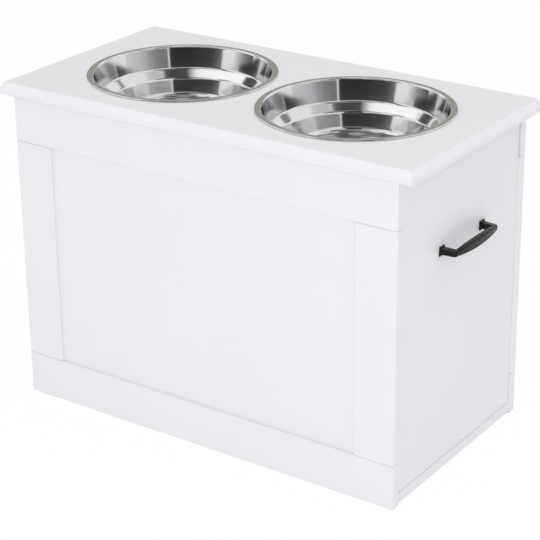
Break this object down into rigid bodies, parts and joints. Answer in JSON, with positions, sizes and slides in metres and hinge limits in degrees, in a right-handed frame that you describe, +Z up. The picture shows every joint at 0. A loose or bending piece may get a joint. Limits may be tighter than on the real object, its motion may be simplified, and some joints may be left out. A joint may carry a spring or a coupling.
{
  "type": "raised dog feeder with storage",
  "caption": "White panelled box with a hinged, bevelled top board, drop-in two-step steel bowls, a storage space inside and a dark pull on each end.",
  "frame": {"origin": "middle of the base, on the floor", "axes": "+X to the right along the length, +Y to the back where the hinges are, +Z up"},
  "size_m": [0.606, 0.313, 0.4295],
  "materials": {
    "white_board": "satin white paint on fibreboard",
    "black_pull": "satin black",
    "bowl_steel": "finely brushed stainless steel",
    "hinge_steel": "plated, satin",
    "zinc_fittings": "zinc plated",
    "beech_dowels": "bare beech",
    "clear_pads": "clear, soft"
  },
  "bodies": {
    "box": {"front_top_rail": "white_board", "front_bottom_rail": "white_board", "front_left_stile": "white_board", "front_right_stile": "white_board", "front_panel": "white_board", "front_frame_dowels": "beech_dowels", "rear_top_rail": "white_board", "rear_bottom_rail": "white_board", "rear_left_stile": "white_board", "rear_right_stile": "white_board", "rear_panel": "white_board", "rear_frame_dowels": "beech_dowels", "left_side_panel": "white_board", "right_side_panel": "white_board", "side_panel_dowels": "beech_dowels", "bottom_board": "white_board", "bottom_board_dowels": "beech_dowels", "bottom_board_screws": "zinc_fittings", "cam_discs": "zinc_fittings", "cam_bolts": "zinc_fittings", "left_pull": "black_pull", "right_pull": "black_pull", "left_pull_screws": "zinc_fittings", "right_pull_screws": "zinc_fittings", "lid_bumpers": "clear_pads", "left_hinge_box_leaf": "hinge_steel", "right_hinge_box_leaf": "hinge_steel", "left_hinge_pin": "hinge_steel", "right_hinge_pin": "hinge_steel", "box_hinge_screws": "zinc_fittings"},
    "lid": {"top_board": "white_board", "left_hinge_lid_leaf": "hinge_steel", "right_hinge_lid_leaf": "hinge_steel", "lid_hinge_screws": "zinc_fittings"},
    "left_bowl": {"left_bowl": "bowl_steel"},
    "right_bowl": {"right_bowl": "bowl_steel"}
  },
  "joints": [
    {"name": "lid_hinge", "type": "hinge", "parent": "box", "child": "lid", "pos_m": [0, 0.154, 0.4095], "axis": [-1, 0, 0], "range_deg": [0, 100]},
    {"name": "left_bowl_lift", "type": "slide", "parent": "lid", "child": "left_bowl", "axis": [0, 0, 1], "range_m": [0, 0.085]},
    {"name": "right_bowl_lift", "type": "slide", "parent": "lid", "child": "right_bowl", "axis": [0, 0, 1], "range_m": [0, 0.085]}
  ]
}
